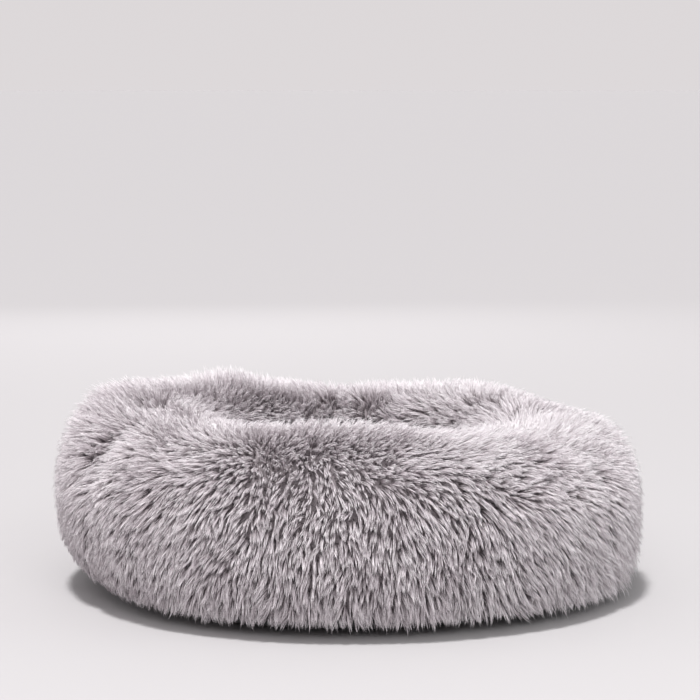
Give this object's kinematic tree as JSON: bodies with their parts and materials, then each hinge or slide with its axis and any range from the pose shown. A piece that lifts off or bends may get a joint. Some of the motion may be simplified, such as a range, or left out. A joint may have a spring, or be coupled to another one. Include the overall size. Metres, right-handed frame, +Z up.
{
  "type": "round donut pet bed",
  "caption": "Round shaggy faux-fur pet bed with a raised stuffed rim round a soft centre pad, in a cover that unzips along its rear base seam.",
  "frame": {"origin": "on the floor, under the middle of the bed", "axes": "+Z up through the centre of the nest, -Y towards the front, the zip runs round the rear half (+Y)"},
  "size_m": [0.6943, 0.6942, 0.2332],
  "materials": {
    "fur": "long shaggy faux fur, soft satin tips",
    "base_cloth": "matt coated Oxford weave with small anti-slip dots",
    "lining_cloth": "matt non-woven lining",
    "fibre": "loose polyester fibre",
    "tape": "matt woven tape",
    "coil": "satin nylon",
    "nickel": "satin nickel plate",
    "thread": "twisted polyester thread",
    "label": "satin, blank"
  },
  "bodies": {
    "cover": {"rim_panel_front": "fur", "rim_panel_left": "fur", "rim_panel_right": "fur", "seat_panel": "fur", "base_panel": "base_cloth", "zip_end_patch_left": "base_cloth", "zip_end_patch_right": "base_cloth", "rim_seam_tape_left": "tape", "rim_seam_tape_right": "tape", "rim_seam_tape_back": "tape", "seat_seam_binding": "tape", "base_seam_tape": "tape", "zip_tape_lower": "tape", "zip_tape_upper": "tape", "zip_coil_lower": "coil", "zip_coil_upper": "coil", "zip_bottom_stop": "nickel", "zip_top_stop_lower": "nickel", "zip_top_stop_upper": "nickel", "ring_lining": "lining_cloth", "pad_lining": "lining_cloth", "ring_filling": "fibre", "pad_filling": "fibre", "ring_slit_thread": "thread", "pad_slit_thread": "thread", "care_label": "label"},
    "zip_slider": {"zip_slider": "nickel"},
    "zip_pull": {"zip_pull": "nickel"}
  },
  "joints": [
    {"name": "zip_travel", "type": "hinge", "parent": "cover", "child": "zip_slider", "pos_m": [0, 0, 0], "axis": [0, 0, 1], "range_deg": [0, 168]},
    {"name": "pull_swing", "type": "hinge", "parent": "zip_slider", "child": "zip_pull", "pos_m": [0.3068, 0.03225, 0.02277], "axis": [-0.6274, -0.0659, -0.7759], "range_deg": [0, 170]}
  ]
}
